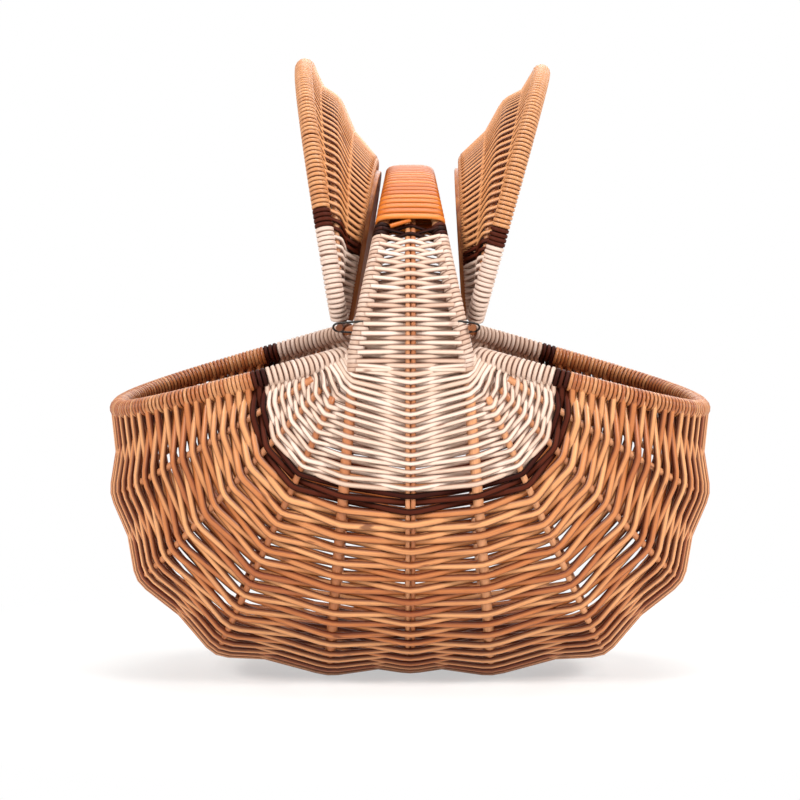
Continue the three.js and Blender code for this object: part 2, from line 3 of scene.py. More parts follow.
import bpy
import numpy as np
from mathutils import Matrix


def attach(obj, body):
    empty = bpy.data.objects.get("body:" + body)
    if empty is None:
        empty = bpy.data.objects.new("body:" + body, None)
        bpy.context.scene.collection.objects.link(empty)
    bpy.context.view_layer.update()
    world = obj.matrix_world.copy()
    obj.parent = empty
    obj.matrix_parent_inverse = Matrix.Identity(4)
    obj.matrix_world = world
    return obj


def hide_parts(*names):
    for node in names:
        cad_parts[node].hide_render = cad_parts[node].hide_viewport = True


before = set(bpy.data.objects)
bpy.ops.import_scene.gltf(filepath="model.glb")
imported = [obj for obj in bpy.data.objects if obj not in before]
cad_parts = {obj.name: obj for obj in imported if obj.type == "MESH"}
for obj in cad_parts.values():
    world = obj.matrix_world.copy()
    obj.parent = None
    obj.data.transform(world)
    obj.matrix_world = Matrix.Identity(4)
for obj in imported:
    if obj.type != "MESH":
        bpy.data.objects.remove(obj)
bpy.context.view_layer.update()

# Frame of the basket: round willow rods, steamed and bent into hoops. The rim is crossed at front and
# back by the two hoops of the handle and by a thin pair between them, and six ribs fan out from those
# crossings. The rods are peeled, rubbed smooth and varnished.
mm = 0.001
crossing_height = 255.5 * mm
rim_half_length = 223 * mm
rim_end_drop = 50 * mm
handle_half_depth = 148 * mm
handle_half_width = 40.5 * mm
handle_top_half_width = 13 * mm
handle_rise = 127 * mm
handle_rib_reach = 62 * mm
fan_offset = 2.5 * mm
body_fullness = 2.6
handle_fullness = 2.2
rib_crowns = {"rib_1": (225 * mm, 141 * mm), "rib_2": (206 * mm, 75 * mm), "rib_3": (148 * mm, 19 * mm)}
rib_start = 34 * mm
rim_lag = 0.042
rib_lags = (0.035, 0.027, 0.019)
handle_rib_lag = 0.012
rim_rod = 9 * mm
handle_rod = 8 * mm
core_rod = 3.6 * mm
core_spacing = 4.0 * mm
rib_rod = 5 * mm
rod_clearance = 0.3 * mm
weaver_thickness = 2.8 * mm
base_flat = 1.4 * mm
rib_floor = handle_rod / 2 + rod_clearance + weaver_thickness - base_flat
rim_half_depth = handle_half_depth - (handle_rod + rim_rod) / 2 - rod_clearance
rod_swell = 0.03
rod_swells = 7
rod_sides = 12
hoop_steps = 90
lengthways = np.array([1.0, 0, 0])
upward = np.array([0, 0, 1.0])
both_sides = ((-1, "left"), (1, "right"))
grain_spread = 5.0
rods_random = np.random.default_rng(3)


def unit(vectors):
    """Vectors divided by their own length."""
    return vectors / np.linalg.norm(vectors, axis=-1, keepdims=True)


class Arch:
    """Half a hoop in a plane that holds Y: a superellipse from front foot over its crown to rear foot.

    The swing from foot to crown is sin(turn) to the power 2/fullness, and the depth is cos(turn) to that
    power. draw_in pulls the feet together within corner_reach of them. Places are given as shares of the
    arc length, and each share is moved towards the feet by lag times sin(2 pi share), where the weaving
    is held back.
    """

    samples = 1601
    rounds = 12

    def __init__(self, foot, crown, half_depth, fullness, lag=0.0, draw_in=0.0, corner_reach=1.0):
        turn = np.linspace(0, np.pi, self.samples)
        power = 2 / fullness
        swing = np.maximum(np.sin(turn), 0) ** power
        depth = np.sign(np.cos(turn)) * np.abs(np.cos(turn)) ** power
        foot = np.array([foot[0], 0, foot[1]])
        crown = np.array([crown[0], 0, crown[1]])
        points = foot + (crown - foot) * swing[:, None]
        nearness = np.maximum(1 - np.linalg.norm(points - foot, axis=1) / corner_reach, 0)
        points[:, 1] = -half_depth * depth * (1 - draw_in * nearness ** 2)
        steps = np.linalg.norm(np.diff(points, axis=0), axis=1)
        self.points = points
        self.lengths = np.concatenate([[0], np.cumsum(steps)])
        self.length = self.lengths[-1]
        self.lag = lag
        self.side = unit(np.cross([0, 1, 0], crown - foot))

    def length_at(self, shares):
        """Lengths from the front foot at shares."""
        shares = np.asarray(shares)
        return (shares - self.lag * np.sin(2 * np.pi * shares)) * self.length

    def share_at(self, length):
        """The share at a length from the front foot, by repeated substitution."""
        share = length / self.length
        for _ in range(self.rounds):
            share = length / self.length + self.lag * math.sin(2 * math.pi * share)
        return share

    def at(self, shares):
        """Points at shares of the arch."""
        wanted = self.length_at(shares)
        return np.stack([np.interp(wanted, self.lengths, self.points[:, i]) for i in range(3)], axis=-1)

    def along(self, shares, step=0.004):
        """Directions along the arch at shares of its length."""
        shares = np.asarray(shares)
        return unit(self.at(np.minimum(shares + step, 1)) - self.at(np.maximum(shares - step, 0)))


def strands(paths, normals, width, thickness, sides=8, closed=False):
    """The skin of many strands at once: an oval of width by thickness carried along each path.

    paths and normals have the shape (strands, points, 3), and the thin way of the oval stands along the
    normals. Each vertex also gets its grain place (distance along, place across, place in depth), its
    nearness to the strand's edge, which is the size of cos(turn) round the oval, and its strand's number.
    """
    count, steps = paths.shape[:2]
    ahead = np.roll(paths, -1, axis=1) - np.roll(paths, 1, axis=1)
    if not closed:
        ahead[:, 0] = paths[:, 1] - paths[:, 0]
        ahead[:, -1] = paths[:, -1] - paths[:, -2]
    tangent = unit(ahead)
    across = unit(np.cross(tangent, normals))
    outward = np.cross(across, tangent)
    turn = np.linspace(0, 2 * np.pi, sides, endpoint=False)
    half_width = np.broadcast_to(np.asarray(width) / 2, (count, steps))[..., None]
    half_depth = np.broadcast_to(np.asarray(thickness) / 2, (count, steps))[..., None]
    sideways = half_width * np.cos(turn)
    upright = half_depth * np.sin(turn)
    rings = (paths[:, :, None] + across[:, :, None] * sideways[..., None]
             + outward[:, :, None] * upright[..., None])

    index = np.arange(count * steps * sides).reshape(count, steps, sides)
    here = index if closed else index[:, :-1]
    there = np.roll(index, -1, axis=1) if closed else index[:, 1:]
    quads = np.stack([here, there, np.roll(there, -1, axis=2), np.roll(here, -1, axis=2)], axis=-1)
    faces = [quads.reshape(-1, 4)]
    if not closed:
        faces.append(np.concatenate([index[:, 0], index[:, -1, ::-1]]))

    travelled = np.linalg.norm(np.diff(paths, axis=1), axis=2).cumsum(axis=1)
    travelled = np.concatenate([np.zeros((count, 1)), travelled], axis=1)[..., None]
    number = np.broadcast_to(np.arange(count)[:, None, None], sideways.shape)
    grain = np.stack([np.broadcast_to(travelled, sideways.shape), sideways, upright], axis=-1)
    edge = np.broadcast_to(np.abs(np.cos(turn)), sideways.shape)
    return {"points": rings.reshape(-1, 3), "faces": faces, "grain": grain.reshape(-1, 3),
            "edge": edge.ravel(), "number": number.ravel()}


def make_piece(name, skin, material, body, random, darkest=0.0):
    """A mesh object in the basket's frame that stands for the CAD node of its name.

    Each strand gets a random tone from darkest to 1, the palest of its material, and a random place in
    the grain within grain_spread metres. The quads of a skin are smooth and its end caps are flat.
    """
    mesh = bpy.data.meshes.new(name)
    mesh.vertices.add(len(skin["points"]))
    mesh.vertices.foreach_set("co", skin["points"].astype(np.float32).ravel())
    corners = np.concatenate([face.ravel() for face in skin["faces"]])
    sizes = np.concatenate([np.full(len(face), face.shape[1]) for face in skin["faces"]])
    mesh.loops.add(len(corners))
    mesh.loops.foreach_set("vertex_index", corners.astype(np.int32))
    mesh.polygons.add(len(sizes))
    mesh.polygons.foreach_set("loop_start", (np.cumsum(sizes) - sizes).astype(np.int32))
    mesh.polygons.foreach_set("use_smooth", sizes == 4)
    mesh.update(calc_edges=True)
    count = skin["number"].max() + 1
    tones = random.uniform(darkest, 1, count)
    starts = random.uniform(0, grain_spread, (count, 3))
    grain = skin["grain"] + starts[skin["number"]]
    for key, kind, field, values in (("grain", "FLOAT_VECTOR", "vector", grain),
                                     ("tone", "FLOAT", "value", tones[skin["number"]]),
                                     ("edge", "FLOAT", "value", skin["edge"])):
        attribute = mesh.attributes.new(key, kind, "POINT")
        attribute.data.foreach_set(field, values.astype(np.float32).ravel())
    mesh.materials.append(material)
    piece = bpy.data.objects.new(name + "_look", mesh)
    bpy.context.scene.collection.objects.link(piece)
    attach(piece, body)
    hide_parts(name)


def colour(hex_code):
    """A linear colour from an sRGB hex value, by the sRGB curve."""
    parts = [int(hex_code[i:i + 2], 16) / 255 for i in (1, 3, 5)]
    return tuple(c / 12.92 if c <= 0.04045 else ((c + 0.055) / 1.055) ** 2.4 for c in parts) + (1.0,)


def add_node(tree, kind, inputs=None, **settings):
    """Adds a node with its settings; each input is a socket's value or another node's output to link."""
    node = tree.nodes.new(kind)
    for key, value in settings.items():
        setattr(node, key, value)
    for key, value in (inputs or {}).items():
        if isinstance(value, bpy.types.NodeSocket):
            tree.links.new(value, node.inputs[key])
        else:
            node.inputs[key].default_value = value
    return node


# The marks of willow, each with its length along the shoot and its width across it
swell_size = (62.5 * mm, 50 / 3 * mm)
fibre_size = (40 * mm, 0.8 * mm)
knot_size = (200 / 9 * mm, 50 / 11 * mm)
swell_share = 0.9
fibre_height = 0.15 * mm
roughness_dip = 0.08
roughness_rise = 0.12
varnish_roughness = 0.25


def drawn_out(mark_size):
    """The scale of a pattern on the grain whose marks have this length and width."""
    length, width = mark_size
    return (1 / length, 1 / width, 1 / width)


def willow(name, tones, streak_hex, knot_and_shade_hex, roughness, coat, streak_strength=0.45, fibre=0.35,
           painted_edge_shade=0.0, gloss=0.3):
    """Willow in long strands: a tone for each shoot, drawn-out streaks, knots, fine fibre and satin varnish.

    tones go from the darkest shoot to the palest. The knots' colour is also the painted shade along the
    edges, where neighbouring strands press together, and the edge strength sets how dark it is painted.
    """
    material = bpy.data.materials.new(name)
    material.use_nodes = True
    tree = material.node_tree
    shader = tree.nodes["Principled BSDF"]
    grain = add_node(tree, "ShaderNodeAttribute", attribute_name="grain").outputs["Vector"]
    tone = add_node(tree, "ShaderNodeAttribute", attribute_name="tone").outputs["Fac"]

    # Slow swells of colour along the shoot, added to the shoot's own tone
    swell_place = add_node(tree, "ShaderNodeMapping", {"Vector": grain, "Scale": drawn_out(swell_size)})
    swells = add_node(tree, "ShaderNodeTexNoise",
                      {"Vector": swell_place.outputs[0], "Scale": 1.0, "Detail": 2.0}).outputs["Fac"]
    spread = add_node(tree, "ShaderNodeMath", {0: swells, 1: swell_share, 2: tone},
                      operation="MULTIPLY_ADD").outputs[0]
    level = add_node(tree, "ShaderNodeMath", {0: spread, 1: swell_share / 2},
                     operation="SUBTRACT").outputs[0]
    ramp = add_node(tree, "ShaderNodeValToRGB", {"Fac": level})
    ramp.color_ramp.elements[0].color = colour(tones[0])
    ramp.color_ramp.elements[1].color = colour(tones[-1])
    for i, hex_code in enumerate(tones[1:-1], start=1):
        ramp.color_ramp.elements.new(i / (len(tones) - 1)).color = colour(hex_code)

    # Fine fibres that run along the shoot
    fibre_place = add_node(tree, "ShaderNodeMapping", {"Vector": grain, "Scale": drawn_out(fibre_size)})
    fibres = add_node(tree, "ShaderNodeTexNoise",
                      {"Vector": fibre_place.outputs[0], "Scale": 1.0, "Detail": 3.0}).outputs["Fac"]
    streaks = add_node(tree, "ShaderNodeMapRange", {"Value": fibres, "From Min": 0.5, "From Max": 0.8,
                                                    "To Max": streak_strength}).outputs["Result"]
    streaked = add_node(tree, "ShaderNodeMix", {"Factor": streaks, "A": ramp.outputs["Color"],
                                                "B": colour(streak_hex)}, data_type="RGBA").outputs["Result"]

    # Knots where side shoots were trimmed: only the peaks of the pattern, as sparse spots about 2 mm across
    knot_place = add_node(tree, "ShaderNodeMapping", {"Vector": grain, "Scale": drawn_out(knot_size)})
    spots = add_node(tree, "ShaderNodeTexNoise",
                     {"Vector": knot_place.outputs[0], "Scale": 1.0, "Detail": 1.0}).outputs["Fac"]
    knots = add_node(tree, "ShaderNodeMapRange", {"Value": spots, "From Min": 0.7, "From Max": 0.78,
                                                  "To Max": 0.7}).outputs["Result"]
    spotted = add_node(tree, "ShaderNodeMix", {"Factor": knots, "A": streaked, "B": colour(knot_and_shade_hex)},
                       data_type="RGBA").outputs["Result"]

    # Painted shade along the edges of the strand, where neighbouring strands press together
    edge = add_node(tree, "ShaderNodeAttribute", attribute_name="edge").outputs["Fac"]
    edge_shade = add_node(tree, "ShaderNodeMapRange", {"Value": edge, "From Min": 0.25, "To Max": painted_edge_shade},
                     interpolation_type="SMOOTHSTEP").outputs["Result"]
    edge_shaded = add_node(tree, "ShaderNodeMix", {"Factor": edge_shade, "A": spotted, "B": colour(knot_and_shade_hex)},
                       data_type="RGBA").outputs["Result"]
    tree.links.new(edge_shaded, shader.inputs["Base Color"])

    rough = add_node(tree, "ShaderNodeMapRange", {"Value": fibres, "To Min": roughness - roughness_dip,
                                                  "To Max": roughness + roughness_rise}).outputs["Result"]
    tree.links.new(rough, shader.inputs["Roughness"])
    relief = add_node(tree, "ShaderNodeBump",
                      {"Height": fibres, "Strength": fibre, "Distance": fibre_height})
    tree.links.new(relief.outputs["Normal"], shader.inputs["Normal"])
    shader.inputs["Specular IOR Level"].default_value = gloss
    shader.inputs["Coat Weight"].default_value = coat
    shader.inputs["Coat Roughness"].default_value = varnish_roughness
    return material


# Peeled and buffed rods: an even warm orange tan, with a soft shine where the varnish catches the light
rod_willow = willow("buff_willow_rods", ["#a8663e", "#bd7c52", "#d09468"], "#965630", "#5c2608",
                    roughness=0.42, coat=0.1)


def side_arches(sign):
    """The rim and the three fanned ribs on one side, from the rim downwards."""
    foot = (sign * (handle_half_width + fan_offset), crossing_height)
    rim_crown = (sign * rim_half_length, crossing_height - rim_end_drop)
    rim = Arch(foot, rim_crown, rim_half_depth, body_fullness, rim_lag)
    fan = []
    for i, (reach, height) in enumerate(rib_crowns.values()):
        inset = (handle_half_depth - rim_half_depth) * (len(rib_crowns) - i) / (len(rib_crowns) + 1)
        fan.append(Arch(foot, (sign * reach, height), handle_half_depth - inset, body_fullness, rib_lags[i]))
    return [rim] + fan


def lower_arch(foot_x, crown_x, lag=0.0):
    """A hoop's half under the basket."""
    return Arch((foot_x, crossing_height), (crown_x, rib_floor), handle_half_depth, body_fullness, lag)


def upper_arch(foot_x, crown_x):
    """A hoop's half over the handle."""
    crown = (crown_x, crossing_height + handle_rise)
    return Arch((foot_x, crossing_height), crown, handle_half_depth, handle_fullness)


left_arches = side_arches(-1)
right_arches = side_arches(1)
handle_ribs = {}
handle_arches = {}
for sign, _ in both_sides:
    handle_ribs[sign] = lower_arch(sign * handle_half_width, sign * handle_rib_reach, handle_rib_lag)
    handle_arches[sign] = upper_arch(sign * handle_half_width, sign * handle_top_half_width)
middle_rib = lower_arch(0, 0)
middle_arch = upper_arch(0, 0)
hoop_shares = np.linspace(0, 1, hoop_steps)


def whole_hoop(below, above):
    """A closed path along the half under the basket and back over the handle."""
    return np.concatenate([below.at(hoop_shares), above.at(hoop_shares)[-2:0:-1]])


def rod_skin(path, side, diameter, closed):
    """A round rod along a path: its thickness swells by rod_swell times a sine, as a grown shoot's does."""
    swell = 1 + rod_swell * np.sin(np.linspace(0, 2 * np.pi * rod_swells, len(path)))[None]
    normals = np.broadcast_to(side, path.shape)[None]
    return strands(path[None], normals, diameter * swell, diameter * swell, rod_sides, closed)


def frame_rod(name, path, side, diameter, closed):
    """One rod of the basket's frame as a piece."""
    skin = rod_skin(path, side, diameter, closed)
    make_piece(name, skin, rod_willow, "basket", rods_random)


rim_path = np.concatenate([right_arches[0].at(hoop_shares), left_arches[0].at(hoop_shares)[::-1]])
frame_rod("rim_hoop", rim_path, upward, rim_rod, True)
for sign, side_name in both_sides:
    hoop = whole_hoop(handle_ribs[sign], handle_arches[sign])
    frame_rod(f"handle_rod_{side_name}", hoop, lengthways, handle_rod, True)
    offset = sign * core_spacing / 2
    core = whole_hoop(lower_arch(offset, offset), upper_arch(offset, offset))
    frame_rod(f"core_rod_{side_name}", core, lengthways, core_rod, True)
    for arch, rib_name in zip((left_arches if sign < 0 else right_arches)[1:], rib_crowns):
        start = arch.share_at(rib_start)
        path = arch.at(np.linspace(start, 1 - start, hoop_steps))
        frame_rod(f"{rib_name}_{side_name}", path, arch.side, rib_rod, False)

# Weaving of the basket: whole willow shoots, worked over and under the ribs from rim to rim, in rows that
# start at both crossings and meet under the base. White peeled shoots come first, then dark rows, then
# buff ones. Each weaver turns round the rim at its ends, so the rim is wrapped all the way.
white_start = 13 * mm
white_length = 103 * mm
dark_length = 16 * mm
white_rows = 31
dark_rows = 3
buff_rows = 81
white_weaver = (4.0 * mm, 2.4 * mm)
dark_weaver = (4.6 * mm, 2.8 * mm)
buff_weaver = (5.9 * mm, 4.2 * mm)
row_scatter = 0.1
row_widths = (0.88, 1.1)
halfway = 0.5
crossing_droop = 0.0165
crossing_droop_reach = 0.14
bend_share = 0.1
bend_samples = 7
bay_steps = 9
pressed_share = 0.76
rim_tuck = 0.75
rib_ease = 16 * mm
rim_wrap = 15 * mm
rim_wrap_pitch = 3.7 * mm
rim_wrap_lap = 3 * mm
rim_wrap_lean = 0.3
crossing_lean = 1.6
crossing_lean_reach = 22 * mm
turn_steps = 16
turn_sides = 6
body_darkest = 0.25
weave_random = np.random.default_rng(11)


def joined(*skins):
    """Several skins as one, with their strands numbered on."""
    points, faces, grain, edge, number = [], [], [], [], []
    first_point = first_number = 0
    for skin in skins:
        points.append(skin["points"])
        faces += [face + first_point for face in skin["faces"]]
        grain.append(skin["grain"])
        edge.append(skin["edge"])
        number.append(skin["number"] + first_number)
        first_point += len(skin["points"])
        first_number += skin["number"].max() + 1
    return {"points": np.concatenate(points), "faces": faces, "grain": np.concatenate(grain),
            "edge": np.concatenate(edge), "number": np.concatenate(number)}


def part_middles(low, high, count):
    """The middles of count equal parts from low to high."""
    return low + (high - low) / count * (np.arange(count) + 0.5)


def over_under(rows, lines, first_row):
    """1 where a row goes over a line and -1 where it goes under, by turns along and across the rows."""
    return 1 - 2 * ((np.arange(rows)[:, None] + first_row + np.arange(lines)) % 2)


def on_arches(arches, shares):
    """Points of each row on each arch and the directions there; shares has a column for each arch."""
    lines = np.stack([arch.at(shares[:, i]) for i, arch in enumerate(arches)], axis=1)
    along = np.stack([arch.along(shares[:, i]) for i, arch in enumerate(arches)], axis=1)
    return lines, along


def bent_rows(lines, normals, lifts):
    """Weaver paths from line to line: straight from one crossing to the next, rounded where they bend.

    lines and normals have the shape (rows, lines, 3), and lifts says how far each row stands over (or
    under) each line. The rounding is the average of the straight path over bend_share of a bay each way.
    """
    count = lines.shape[1]
    anchors = lines + normals * (lifts / (1 - bend_share))[..., None]
    place = np.linspace(0, count - 1, (count - 1) * bay_steps + 1)
    spread = np.linspace(-bend_share, bend_share, bend_samples)
    near = np.clip(place[:, None] + spread, 0, count - 1)
    bay = np.minimum(near.astype(int), count - 2)
    part = (near - bay)[None, ..., None]
    paths = (anchors[:, bay] * (1 - part) + anchors[:, bay + 1] * part).mean(axis=2)
    bay = np.minimum(place.astype(int), count - 2)
    part = (place - bay)[None, :, None]
    leaning = unit(normals[:, bay] * (1 - part) + normals[:, bay + 1] * part)
    return paths, leaning


def wrap_rings(middles, along, outward, radius, width, thickness, lean):
    """Turns of a weaver round a rod: a ring at each middle, leaning along it by lean times its width."""
    turn = np.linspace(0, 2 * np.pi, turn_steps, endpoint=False)[None, :, None]
    sideways = np.cross(along, outward)
    radial = np.cos(turn) * outward[:, None] + np.sin(turn) * sideways[:, None]
    tilt = np.reshape(lean, (-1, 1, 1)) * width * np.sin(turn) * along[:, None]
    paths = middles[:, None] + radius * radial + tilt
    return strands(paths, radial, width, thickness, turn_sides, closed=True)


def outward_normals(lines, along, centre):
    """Normals of the woven wall at each line, square to the rows and the lines, away from the centre."""
    across = np.empty_like(lines)
    across[:, 1:-1] = lines[:, 2:] - lines[:, :-2]
    across[:, 0] = lines[:, 1] - lines[:, 0]
    across[:, -1] = lines[:, -1] - lines[:, -2]
    normals = unit(np.cross(along, across))
    inward = np.sum(normals * (lines - centre), axis=2) < 0
    normals[inward] *= -1
    return normals


# The arches from the left rim under the basket to the right rim, and for each fanned rib its place among
# them with those of the rim and the handle's rib on either side of it
body_arches = left_arches + [handle_ribs[-1], middle_rib, handle_ribs[1]] + right_arches[::-1]
side_rods = [rim_rod] + [rib_rod] * len(rib_crowns)
body_radii = np.array(side_rods + [handle_rod, core_rod, handle_rod] + side_rods[::-1]) / 2
handle_line = len(left_arches)
last_line = len(body_arches) - 1
fan_lines = [(line, 0, handle_line) for line in range(1, handle_line)]
fan_lines += [(last_line - line, last_line - handle_line, last_line) for line in range(1, handle_line)]
mouth_middle = np.array([0, 0, crossing_height])


def body_weave(low, high, rows, width, thickness, first_row):
    """The rows of one stretch, from share low to share high of every arch, and the turns round the rim.

    Near a crossing the rows droop at the middle rib: on the other arches they are held back by
    crossing_droop times sin(pi share / crossing_droop_reach). Where a rib has not begun, a row runs on
    straight, and over the next rib_ease of the rib it comes to bend round it. At the rim a row has only
    rim_tuck of its full lift, so its ends go in under the turns. Under the base the weavers are worn flat.
    """
    step = (high - low) / rows
    shares = part_middles(low, high, rows)[:, None]
    foot_share = np.minimum(shares, 1 - shares)
    droop = crossing_droop * np.sin(np.pi * np.minimum(foot_share / crossing_droop_reach, 1))
    held = np.arange(len(body_arches)) != body_arches.index(middle_rib)
    shares = shares + np.where(shares < halfway, -droop, droop) * held
    shares = shares + step * weave_random.normal(0, row_scatter, shares.shape)
    lines, along = on_arches(body_arches, shares)
    over = over_under(rows, len(body_arches), first_row)
    lifts = over * (body_radii + rod_clearance + thickness / 2) * pressed_share
    lifts[:, [0, -1]] *= rim_tuck
    for line, left, right in fan_lines:
        part = (line - left) / (right - left)
        from_foot = body_arches[line].length_at(foot_share[:, 0])
        caught = np.clip((from_foot - rib_start) / rib_ease, 0, 1)
        straight = lines[:, left] * (1 - part) + lines[:, right] * part
        lines[:, line] = lines[:, line] * caught[:, None] + straight * (1 - caught)[:, None]
        level = lifts[:, left] * (1 - part) + lifts[:, right] * part
        lifts[:, line] = lifts[:, line] * caught + level * (1 - caught)
    normals = outward_normals(lines, along, mouth_middle)
    paths, leaning = bent_rows(lines, normals, lifts)
    uneven = width * weave_random.uniform(*row_widths, (rows, 1))
    skins = [strands(paths, leaning, uneven, thickness)]

    wrap_thickness = (rim_wrap - rim_rod) / 2
    wrap_radius = (rim_rod + wrap_thickness) / 2
    for rim in (left_arches[0], right_arches[0]):
        turns = round((rim.length_at(high) - rim.length_at(low)) / rim_wrap_pitch)
        places = part_middles(low, high, turns)
        flat = np.broadcast_to(rim.side, (turns, 3))
        from_crossing = rim.length_at(np.minimum(places, 1 - places))
        lean = rim_wrap_lean + crossing_lean * np.exp(-from_crossing / crossing_lean_reach)
        lean = np.where(places < halfway, lean, -lean)
        skins.append(wrap_rings(rim.at(places), rim.along(places), flat, wrap_radius, rim_wrap_pitch,
                                wrap_thickness, lean))
    skin = joined(*skins)
    skin["points"][:, 2] = np.maximum(skin["points"][:, 2], 0)
    return skin


# Peeled willow: nearly white wood with a faint pink-brown streak, satin varnish
# The strands' edges get a painted shade in a dark pink-brown
peeled_willow = willow("peeled_white_willow", ["#c4a38e", "#d5b9a5", "#e2cbbb"], "#b8947e", "#70402a",
                       roughness=0.42, coat=0.04, streak_strength=0.4, painted_edge_shade=0.8, gloss=0.2)
# Buff willow: boiled in its bark, which stains the wood a warm tan that changes from shoot to shoot
# The strands' edges get a deep painted shade in dark red-brown
buff_willow = willow("buff_willow", ["#98512a", "#b86e3a", "#d69763"], "#8c4616", "#480c00",
                     roughness=0.38, coat=0.12, painted_edge_shade=0.94)
# Steamed dark willow: brown bark left on, a dull dark red-brown
# The strands' edges get a painted shade in near black
dark_willow = willow("dark_steamed_willow", ["#220600", "#360e04", "#501e0d"], "#180300", "#080100",
                     roughness=0.55, coat=0.0, streak_strength=0.5, painted_edge_shade=0.9, gloss=0.1)

white_low = middle_rib.share_at(white_start - rim_wrap_lap)
white_end = middle_rib.share_at(white_length)
dark_end = middle_rib.share_at(white_length + dark_length)
body_stretches = [
    ("front_white", white_low, white_end, white_rows, white_weaver, peeled_willow, "peeled_willow"),
    ("front_dark", white_end, dark_end, dark_rows, dark_weaver, dark_willow, "dark_willow"),
    ("natural", dark_end, 1 - dark_end, buff_rows, buff_weaver, buff_willow, "natural_willow"),
    ("back_dark", 1 - dark_end, 1 - white_end, dark_rows, dark_weaver, dark_willow, "dark_willow"),
    ("back_white", 1 - white_end, 1 - white_low, white_rows, white_weaver, peeled_willow, "peeled_willow"),
]
first = 0
for name, low, high, rows, (width, thickness), material, slot in body_stretches:
    skin = body_weave(low, high, rows, width, thickness, first)
    first += rows
    make_piece(f"body_weave_{name}", skin, material, "basket", weave_random, body_darkest)

# Weaving of the handle: white weavers go over and under the thin pair of rods and turn round the outer
# rods, so both edges are wrapped. A few dark rows end the weaving under the grip at front and back.
strap_length = 92 * mm
strap_pitch = 3.4 * mm
strap_weaver = (3.9 * mm, 2.4 * mm)
strap_wrap = 12 * mm
strap_nudge = 1 * mm
band_length = 12 * mm
band_pitch = 3.9 * mm
band_weaver = (3.2 * mm, 2.2 * mm)
fine_widths = (0.9, 1.08)
edge_cover = 1.12
edge_lean = 0.2
strap_hoops = [(handle_ribs[-1], handle_arches[-1]), (middle_rib, middle_arch),
               (handle_ribs[1], handle_arches[1])]
strap_radii = np.array([handle_rod, core_rod, handle_rod]) / 2
strap_random = np.random.default_rng(23)


def hoop_points(lengths):
    """Points on the three hoops at lengths from the front crossing: up the handle or, below 0, down a rib."""
    lines = []
    for below, above in strap_hoops:
        up = above.at(np.maximum(lengths, 0) / middle_arch.length)
        down = below.at(np.maximum(-lengths, 0) / middle_rib.length)
        lines.append(np.where((lengths < 0)[:, None], down, up))
    return np.stack(lines, axis=1)


def strap_weave(low, high, pitch, width, thickness, first_row):
    """Rows over the three hoops, from length low to high, and the turns round both edges."""
    rows = round((high - low) / pitch)
    lengths = part_middles(low, high, rows)
    lines = hoop_points(lengths)
    along = unit(hoop_points(lengths + strap_nudge) - hoop_points(lengths - strap_nudge))
    normals = unit(np.cross(lengthways, along))
    over = over_under(rows, len(strap_hoops), first_row)
    paths, leaning = bent_rows(lines, normals, over * (strap_radii + thickness / 2))
    uneven = width * strap_random.uniform(*fine_widths, (rows, 1))
    skins = [strands(paths, leaning, uneven, thickness)]
    wrap_thickness = (strap_wrap - handle_rod) / 2
    wrap_radius = (handle_rod + wrap_thickness) / 2
    for edge in (0, -1):
        skins.append(wrap_rings(lines[:, edge], along[:, edge], normals[:, edge], wrap_radius,
                                pitch * edge_cover, wrap_thickness, edge_lean))
    return joined(*skins)


def turned_about(skin):
    """The same skin at the other end of the basket, turned half round about Z."""
    return {**skin, "points": skin["points"] * np.array([-1, -1, 1])}


front_strap = strap_weave(-white_start, strap_length, strap_pitch, *strap_weaver, 0)
front_band = strap_weave(strap_length, strap_length + band_length, band_pitch, *band_weaver, 1)
for name, skin, material, slot in (("weave", front_strap, peeled_willow, "peeled_willow"),
                                   ("band", front_band, dark_willow, "dark_willow")):
    make_piece(f"handle_{name}_front", skin, material, "basket", strap_random)
    make_piece(f"handle_{name}_back", turned_about(skin), material, "basket", strap_random)

# Grip: flat split cane, wound side by side round the four rods at the top of the handle and tucked in at
# both ends. The cane keeps its glossy outer skin, so each turn has a thin line of light along it.
grip_thickness = 17 * mm
grip_overhang = 5.8 * mm
cane_width = 5.8 * mm
cane_cover = 1.1
cane_thickness = 1.8 * mm
cane_roundness = 0.58
cane_steps = 40
tuck_width = 0.7 * cane_width
tuck_reach = 15 * mm
tuck_drop = 6 * mm
tuck_height = 6.2 * mm
tuck_steps = 12
grip_random = np.random.default_rng(31)


def grip_winding():
    """Turns of cane round a bar: its section is a superellipse that narrows towards the arch's top."""
    low = (strap_length + band_length) / middle_arch.length
    turns = round((1 - 2 * low) * middle_arch.length / cane_width)
    shares = part_middles(low, 1 - low, turns)
    middles = middle_arch.at(shares)
    along = middle_arch.along(shares)
    face = unit(np.cross(lengthways, along))
    rise = (middles[:, 2] - crossing_height) / handle_rise
    half_width = handle_half_width + (handle_top_half_width - handle_half_width) * rise + grip_overhang
    turn = np.linspace(0, 2 * np.pi, cane_steps, endpoint=False)
    sideways = np.sign(np.cos(turn)) * np.abs(np.cos(turn)) ** cane_roundness
    upright = np.sign(np.sin(turn)) * np.abs(np.sin(turn)) ** cane_roundness
    inset = cane_thickness / 2
    paths = (middles[:, None] + (half_width - inset)[:, None, None] * sideways[None, :, None] * lengthways
             + (grip_thickness / 2 - inset) * upright[None, :, None] * face[:, None])
    ahead = np.roll(paths, -1, axis=1) - np.roll(paths, 1, axis=1)
    normals = unit(np.cross(ahead, np.broadcast_to(along[:, None], ahead.shape)))
    return strands(paths, normals, cane_width * cane_cover, cane_thickness, closed=True)


def tucked_end():
    """The cane's end at the front: a straight slip that slants from the edge to the middle, under a turn."""
    part = np.linspace(0, 1, tuck_steps)
    from_crossing = strap_length + band_length - tuck_drop * (1 - part)
    shares = from_crossing / middle_arch.length
    face = unit(np.cross(lengthways, middle_arch.along(shares)))
    path = middle_arch.at(shares) + face * tuck_height
    path[:, 0] = -tuck_reach * (1 - part)
    return strands(path[None], face[None], tuck_width, cane_thickness)
